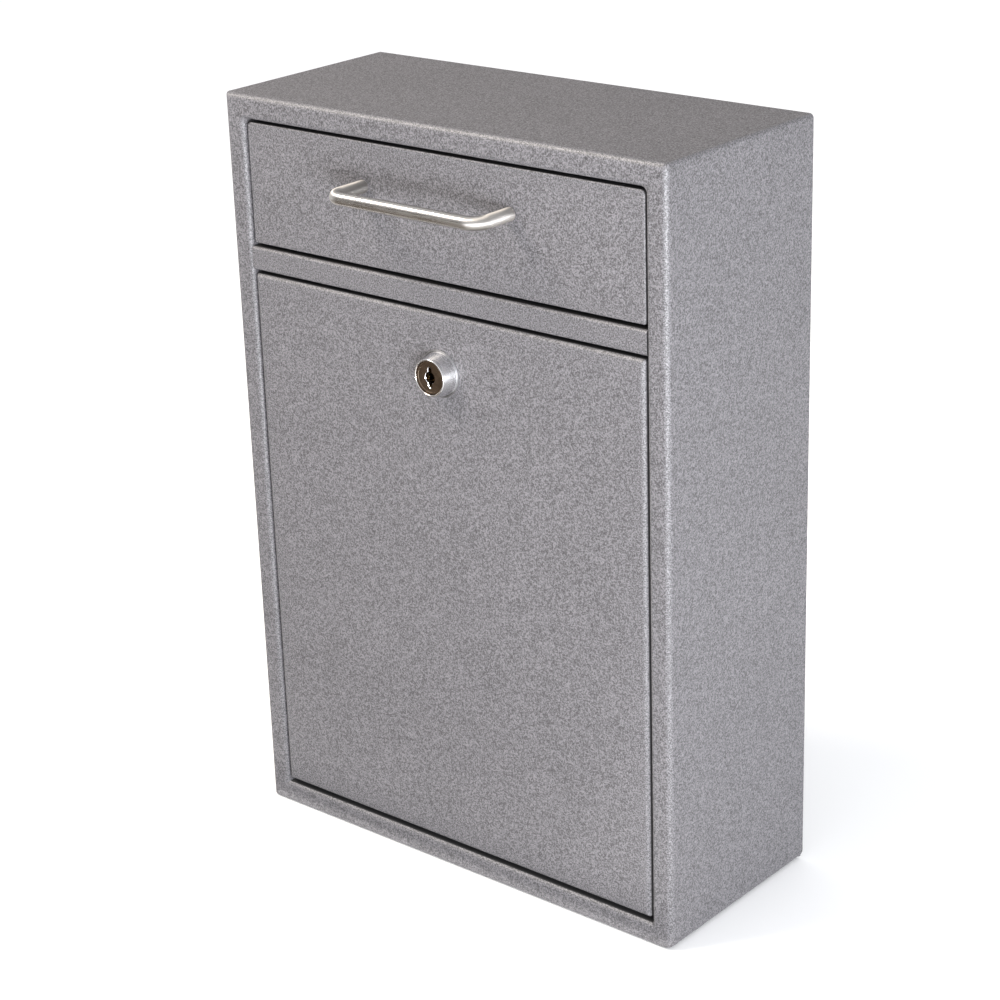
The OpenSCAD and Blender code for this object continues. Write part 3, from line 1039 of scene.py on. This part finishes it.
class DROPBOX_OT_handle(Operator):
    """Bends the pull handle from round bar"""

    bl_idname = "dropbox.handle"
    bl_label = "Pull Handle"

    def execute(self, context):
        sizes = context.scene.drop_box.handle
        low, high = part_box("pull_handle")
        left_foot, right_foot = handle_feet()
        bar_r = (high.z - low.z) / 2
        reach_y = low.y + bar_r
        bend_x = right_foot.x - sizes.bend_r
        bend_y = reach_y + sizes.bend_r
        path = arc((-bend_x, bend_y), sizes.bend_r, 180, 270, BEND_STEPS)
        path += arc((bend_x, bend_y), sizes.bend_r, 270, 360, BEND_STEPS)
        bends = [Vector((x, y, left_foot.z)) for x, y in path]
        middle = [left_foot, *bends, right_foot]
        rings = []
        for i, point in enumerate(middle):
            before = middle[max(i - 1, 0)]
            after = middle[min(i + 1, len(middle) - 1)]
            run = (after - before).normalized()
            side = run.cross(UP).normalized()
            ring = arc((0, 0), bar_r, 0, 360, BAR_STEPS)[:-1]
            rings.append([point + side * a + Vector((0, 0, b)) for a, b in ring])
        bar = loft("pull_bar", rings)
        even_shading(bar)
        steel = material(brushed_bar_steel, sizes, bend_x, bend_y)
        settle(bar, "hopper", "handle_steel", [steel], "pull_handle")
        return {"FINISHED"}


# ---- Lock ----


# The seat's depth behind the plug's face, the rounding of the head's rims and the thread's depth.
SEAT_DEPTH = 2.25 * MM
HEAD_RIM_R = 0.28 * MM
THREAD_DEPTH = 0.5 * MM

# One ridge of the thread: each point's share of the pitch, and whether it is on the crest.
RIDGE = ((0.1, False), (0.45, True), (0.6, True), (0.95, False))

# The base ring's rounding, and its clearance round the barrel.
RING_ROUND_R = 0.25 * MM
RING_FIT = 0.1 * MM

# The plug's step, chamfer and bevels, the thickness of its head, the depth of the keyway's bright
# plate, the core's radius and half the square tail's width.
STEP_DEPTH = 0.22 * MM
KEYWAY_CHAMFER = 0.22 * MM
STEP_BEVEL = 0.12 * MM
PLUG_BEVEL = 0.2 * MM
PLUG_HEAD = 2.2 * MM
PLATE_DEPTH = 3.2 * MM
CORE_R = 7 * MM
TAIL_HALF = 3.5 * MM

# Edges sharper than these stay crisp on turned parts and on the plug.
TURNED_CREASE = math.radians(38)
PLUG_CREASE = math.radians(30)


def keyway_reach(angle, lock, grow=0.0):
    """Distance from the plug's centre to the keyway's edge in one direction."""
    width = lock.keyway_w / 2 + grow
    straight = (lock.keyway_h - lock.keyway_w) / 2
    across, up = abs(math.cos(angle)), abs(math.sin(angle))
    side = width / max(across, 1e-9)
    if side * up > straight:
        side = straight * up + math.sqrt(max(width**2 - (straight * across) ** 2, 0))
    return max(side, lock.keyway_round_d / 2 + grow)


def plug_angles(lock):
    """Even steps round the plug, with the corners where the keyway meets its round hole added."""
    corner = math.acos(lock.keyway_w / lock.keyway_round_d)
    angles = [math.tau * i / TURN_STEPS for i in range(TURN_STEPS)]
    for turn in (corner, math.pi - corner, math.pi + corner, -corner):
        angles.append(turn % math.tau)
    return sorted(angles)


class DROPBOX_OT_lock(Operator):
    """Turns the lock's head, ring and plug"""

    bl_idname = "dropbox.lock"
    bl_label = "Cam Lock"

    def execute(self, context):
        lock = context.scene.drop_box.lock
        axis = JOINTS["key_turn"]
        chrome = material(polished_chrome, lock)
        self.head(lock, axis, chrome)
        self.ring(lock, axis, material(satin_chrome))
        self.plug(lock, axis, chrome)
        return {"FINISHED"}

    def head(self, lock, axis, chrome):
        low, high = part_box("lock_body")
        ring_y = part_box("lock_base_ring")[0].y
        seat_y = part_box("lock_plug")[0].y + SEAT_DEPTH
        rim_r = HEAD_RIM_R
        bore_r = lock.bore_d / 2
        profile = [(bore_r, seat_y), (lock.seat_d / 2, seat_y)]
        profile += arc((lock.seat_d / 2 + rim_r, low.y + rim_r), rim_r, 180, 270, 4)
        profile += arc((lock.front_d / 2 - rim_r, low.y + rim_r), rim_r, 270, 350, 4)
        base_r = (high.x - low.x) / 2
        profile += arc((base_r - rim_r, ring_y - rim_r), rim_r, 0, 90, 3)
        barrel_r = lock.barrel_d / 2
        barrel = [(barrel_r, ring_y)]
        root_r = barrel_r - THREAD_DEPTH
        y = CABINET[0].y + 2 * SHEET
        while y + lock.thread_pitch < high.y:
            for share, on_crest in RIDGE:
                radius = barrel_r if on_crest else root_r
                barrel.append((radius, y + share * lock.thread_pitch))
            y += lock.thread_pitch
        barrel += [(root_r, high.y), (bore_r, high.y)]
        head = turned("lock_head", profile, axis, barrel, lock.barrel_flats / 2)
        head.data.set_sharp_from_angle(angle=TURNED_CREASE)
        settle(head, "collection_door", "lock_chrome", [chrome], "lock_body")

    def ring(self, lock, axis, satin):
        low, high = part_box("lock_base_ring")
        outer_r = (high.x - low.x) / 2
        inner_r = lock.barrel_d / 2 + RING_FIT
        profile = [(inner_r, high.y), (outer_r, high.y)]
        profile += arc((outer_r - RING_ROUND_R, low.y + RING_ROUND_R), RING_ROUND_R, 0, -90, 4)
        profile.append((inner_r, low.y))
        ring = turned("lock_ring", profile, axis)
        ring.data.set_sharp_from_angle(angle=TURNED_CREASE)
        settle(ring, "collection_door", "lock_chrome", [satin], "lock_base_ring")

    def plug(self, lock, axis, chrome):
        low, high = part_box("lock_plug")
        face = low.y
        plug_r = (high.x - low.x) / 2
        barrel_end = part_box("lock_body")[1].y

        def key(grow):
            return lambda angle: keyway_reach(angle, lock, grow)

        def circle(radius):
            return lambda angle: radius

        def square(angle):
            return TAIL_HALF / max(abs(math.cos(angle)), abs(math.sin(angle)))

        # The plug's outline from inside the keyway, over the face, to the end of the tail. Each
        # entry gives the distance from the axis at any angle, and the place along the axis.
        stations = [
            (key(0.0), face + lock.keyway_depth),
            (key(0.0), face + PLATE_DEPTH),
            (key(0.0), face + STEP_DEPTH + KEYWAY_CHAMFER),
            (key(KEYWAY_CHAMFER), face + STEP_DEPTH),
            (circle(lock.step_d / 2 - STEP_BEVEL), face + STEP_DEPTH),
            (circle(lock.step_d / 2), face),
            (circle(plug_r - PLUG_BEVEL), face),
            (circle(plug_r), face + PLUG_BEVEL),
            (circle(plug_r), face + PLUG_HEAD),
            (circle(CORE_R), face + PLUG_HEAD),
            (circle(CORE_R), barrel_end),
            (square, barrel_end),
            (square, high.y),
        ]
        angles = plug_angles(lock)
        rings = []
        for reach, y in stations:
            ring = []
            for angle in angles:
                x = axis.x + reach(angle) * math.cos(angle)
                z = axis.z + reach(angle) * math.sin(angle)
                ring.append(Vector((x, y, z)))
            rings.append(ring)
        bm = bmesh.new()
        rows, bands = bridge(bm, rings)
        bm.faces.new(rows[0])
        bm.faces.new(rows[-1])
        # The keyway's walls near the face, and everything behind the head, are bright plate. The
        # deeper keyway walls keep the dark first material as painted shade, and the face keeps it
        # as a painted reflection.
        for band in bands[1:3] + bands[8:]:
            for each in band:
                each.material_index = 1
        plug = new_piece("lock_face", bm)
        plug.data.set_sharp_from_angle(angle=PLUG_CREASE)
        plate = material(plug_painted_reflection_and_shade, lock)
        settle(plug, "key_plug", "lock_face", [plate, chrome], "lock_plug")


# ---- Frame nodes that keep their shape ----


# The nodes of each finish, and the width of each one's broken edges in millimetres.
KEPT = {
    "coat": {
        "back_panel": 0,
        "mail_baffle": 0.5,
        "stop_tabs": 0.3,
        "tray_floor": 0.5,
        "tray_cheeks": 0.35,
    },
    "rubber": {"stop_bumpers": 0.4},
    "nylon": {"door_hinge_spacers": 0.15, "hopper_hinge_spacers": 0.15},
    "brass": {"lock_wafers": 0.08},
    "zinc": {
        "lock_strike": 0.25,
        "door_hinge_pins": 0.3,
        "hopper_hinge_pins": 0.3,
        "door_hinge_clips": 0.12,
        "hopper_hinge_clips": 0.12,
        "lock_washer": 0.2,
        "lock_nut": 0.35,
        "cam_washer": 0.2,
        "lock_cam": 0.35,
        "cam_screw": 0.2,
        "handle_screws": 0.2,
        "handle_washers": 0.15,
    },
}


class DROPBOX_OT_hardware(Operator):
    """Finishes the pins, clips, screws, cam and inner sheets that keep the frame's own shape"""

    bl_idname = "dropbox.hardware"
    bl_label = "Hardware and Inner Sheets"

    def execute(self, context):
        finishes = {
            "coat": coat_materials(context)[0],
            "zinc": material(bright_zinc),
            "brass": material(stamped_brass),
            "rubber": material(black_rubber),
            "nylon": material(black_nylon),
        }
        for finish, nodes in KEPT.items():
            for name, width in nodes.items():
                node = frame["nodes"][name]
                node.data.materials.clear()
                node.data.materials.append(finishes[finish])
                if width:
                    soften(node, width * MM, weld=True)
        return {"FINISHED"}


# ---- Stage ----


FLOOR_HALF = 9.0
ROOM_TINT = (0.97, 0.98, 1, 1)

# The soft lights: name, place, size, power in watts and colour. All point at LIT_POINT.
LIT_POINT = (0, 0, 0.2)
SOFTBOXES = (
    ("light_right", (1.2, -0.98, 0.19), (0.9, 0.36), 40, (0.95, 0.97, 1)),
    ("light_left", (-0.72, -0.68, 1.44), (0.8, 0.5), 26, (1, 0.92, 0.82)),
)

# The dark cards that shape the reflections: name, place, size and the way each faces.
CARDS = (
    ("card_floor", (-0.65, -0.75, 0.01), (1.4, 1.3), (0, 0, 1)),
    ("card_front", (-0.95, -1.25, 0.45), (1.5, 0.9), (0.6, 0.8, 0)),
    ("card_back", (-0.95, 1.15, 0.95), (1.3, 0.8), (0.57, -0.68, -0.46)),
    ("card_high", (0.9, 0.5, 1.1), (0.7, 0.7), (-0.55, -0.35, -0.65)),
)

# The flag that keeps the floor's light off the cabinet's foot: its place and size.
FLAG_AT = (0, CABINET[0].y - 0.014, 0.004)
FLAG_SIZE = (0.34, 0.022)


def add_softbox(name, at, size, power, colour):
    """A rectangular soft light."""
    light = bpy.data.lights.new(name, "AREA")
    light.shape = "RECTANGLE"
    light.size, light.size_y = size
    light.energy = power
    light.color = colour
    lamp = bpy.data.objects.new(name, light)
    lamp.location = at
    lamp.rotation_euler = (Vector(LIT_POINT) - Vector(at)).to_track_quat("-Z", "Y").to_euler()
    bpy.context.scene.collection.objects.link(lamp)


def add_card(name, at, size, facing):
    """A dark card that only polished and glossy surfaces see."""
    across = Vector(facing).to_track_quat("Z", "Y").to_matrix()
    bm = bmesh.new()
    for x, y in ((-1, -1), (1, -1), (1, 1), (-1, 1)):
        bm.verts.new(Vector(at) + across @ Vector((x * size[0] / 2, y * size[1] / 2, 0)))
    bm.faces.new(bm.verts)
    card = new_piece(name, bm, smooth=False)
    card.data.materials.append(material(dark_card))
    card.visible_camera = False
    card.visible_diffuse = False
    card.visible_shadow = False
    return card


def dark_flag():
    """A dark face whose back lets light through."""
    finish = Finish("dark_flag")
    finish.set(Base_Color=(0.06, 0.06, 0.06, 1), Roughness=0.9)
    facing = finish.add("ShaderNodeNewGeometry")
    clear = finish.add("ShaderNodeBsdfTransparent")
    blend = finish.add("ShaderNodeMixShader", {"Fac": facing.outputs["Backfacing"]})
    output = finish.tree.nodes["Material Output"]
    finish.tree.links.new(finish.shader.outputs["BSDF"], blend.inputs[1])
    finish.tree.links.new(clear.outputs["BSDF"], blend.inputs[2])
    finish.tree.links.new(blend.outputs["Shader"], output.inputs["Surface"])
    return finish.material


class DROPBOX_OT_stage(Operator):
    """Sets the pale floor, the soft lights and the camera"""

    bl_idname = "dropbox.stage"
    bl_label = "Stage"

    def execute(self, context):
        stage = context.scene.drop_box.stage
        self.floor(stage)
        self.room(context, stage)
        self.lights()
        self.camera(context, stage)
        return {"FINISHED"}

    def floor(self, stage):
        half = FLOOR_HALF
        bm = bmesh.new()
        corners = [(-half, -half), (half, -half), (half, half), (-half, half)]
        bm.faces.new([bm.verts.new((x, y, CABINET[0].z)) for x, y in corners])
        floor = new_piece("floor", bm, smooth=False)
        floor.data.materials.append(material(pale_floor, stage))

    def room(self, context, stage):
        world = bpy.data.worlds.new("soft_room")
        world.use_nodes = True
        background = world.node_tree.nodes["Background"]
        background.inputs["Color"].default_value = ROOM_TINT
        background.inputs["Strength"].default_value = stage.sky
        context.scene.world = world
        context.scene.view_settings.view_transform = "Standard"

    def lights(self):
        for softbox in SOFTBOXES:
            add_softbox(*softbox)
        flag = add_card("flag_foot", FLAG_AT, FLAG_SIZE, UP)
        flag.data.materials[0] = material(dark_flag)
        flag.visible_diffuse = True
        for card in CARDS:
            add_card(*card)

    def camera(self, context, stage):
        at = Vector(stage.camera_at)
        ahead = (Vector(stage.looks_at) - at).normalized()
        level = ahead.cross(UP).normalized()
        down = ahead.cross(level)
        turn = Matrix.Rotation(stage.roll, 3, ahead)
        right, up = turn @ level, -(turn @ down)
        camera = bpy.data.cameras.new("camera")
        camera.lens = stage.lens
        camera.clip_end = 50
        view = bpy.data.objects.new("camera", camera)
        basis = Matrix((right, up, -ahead)).transposed().to_4x4()
        view.matrix_world = Matrix.Translation(at) @ basis
        context.scene.collection.objects.link(view)
        context.scene.camera = view


# ---- Panel and registration ----


OPERATORS = (
    DROPBOX_OT_cabinet,
    DROPBOX_OT_rail,
    DROPBOX_OT_door,
    DROPBOX_OT_hopper,
    DROPBOX_OT_handle,
    DROPBOX_OT_lock,
    DROPBOX_OT_hardware,
    DROPBOX_OT_stage,
)


class DROPBOX_PT_panel(Panel):
    """Lists the pieces of the drop box in the sidebar"""

    bl_idname = "DROPBOX_PT_panel"
    bl_label = "Drop Box"
    bl_space_type = "VIEW_3D"
    bl_region_type = "UI"
    bl_category = "Drop Box"

    def draw(self, context):
        column = self.layout.column()
        for operator in OPERATORS:
            column.operator(operator.bl_idname)
        settings = context.scene.drop_box
        for group_name in DropBoxSettings.__annotations__:
            group = getattr(settings, group_name)
            box = self.layout.box()
            for name in type(group).__annotations__:
                box.prop(group, name)


CLASSES = (
    CabinetSettings,
    DoorSettings,
    HandleSettings,
    LockSettings,
    CoatSettings,
    StageSettings,
    DropBoxSettings,
    *OPERATORS,
    DROPBOX_PT_panel,
)


def register():
    for cls in CLASSES:
        bpy.utils.register_class(cls)
    bpy.types.Scene.drop_box = PointerProperty(type=DropBoxSettings)


def unregister():
    del bpy.types.Scene.drop_box
    for cls in reversed(CLASSES):
        bpy.utils.unregister_class(cls)


def main():
    """Builds every piece and the stage."""
    register()
    for operator in OPERATORS:
        group, name = operator.bl_idname.split(".")
        getattr(getattr(bpy.ops, group), name)()


if __name__ == "__main__":
    main()
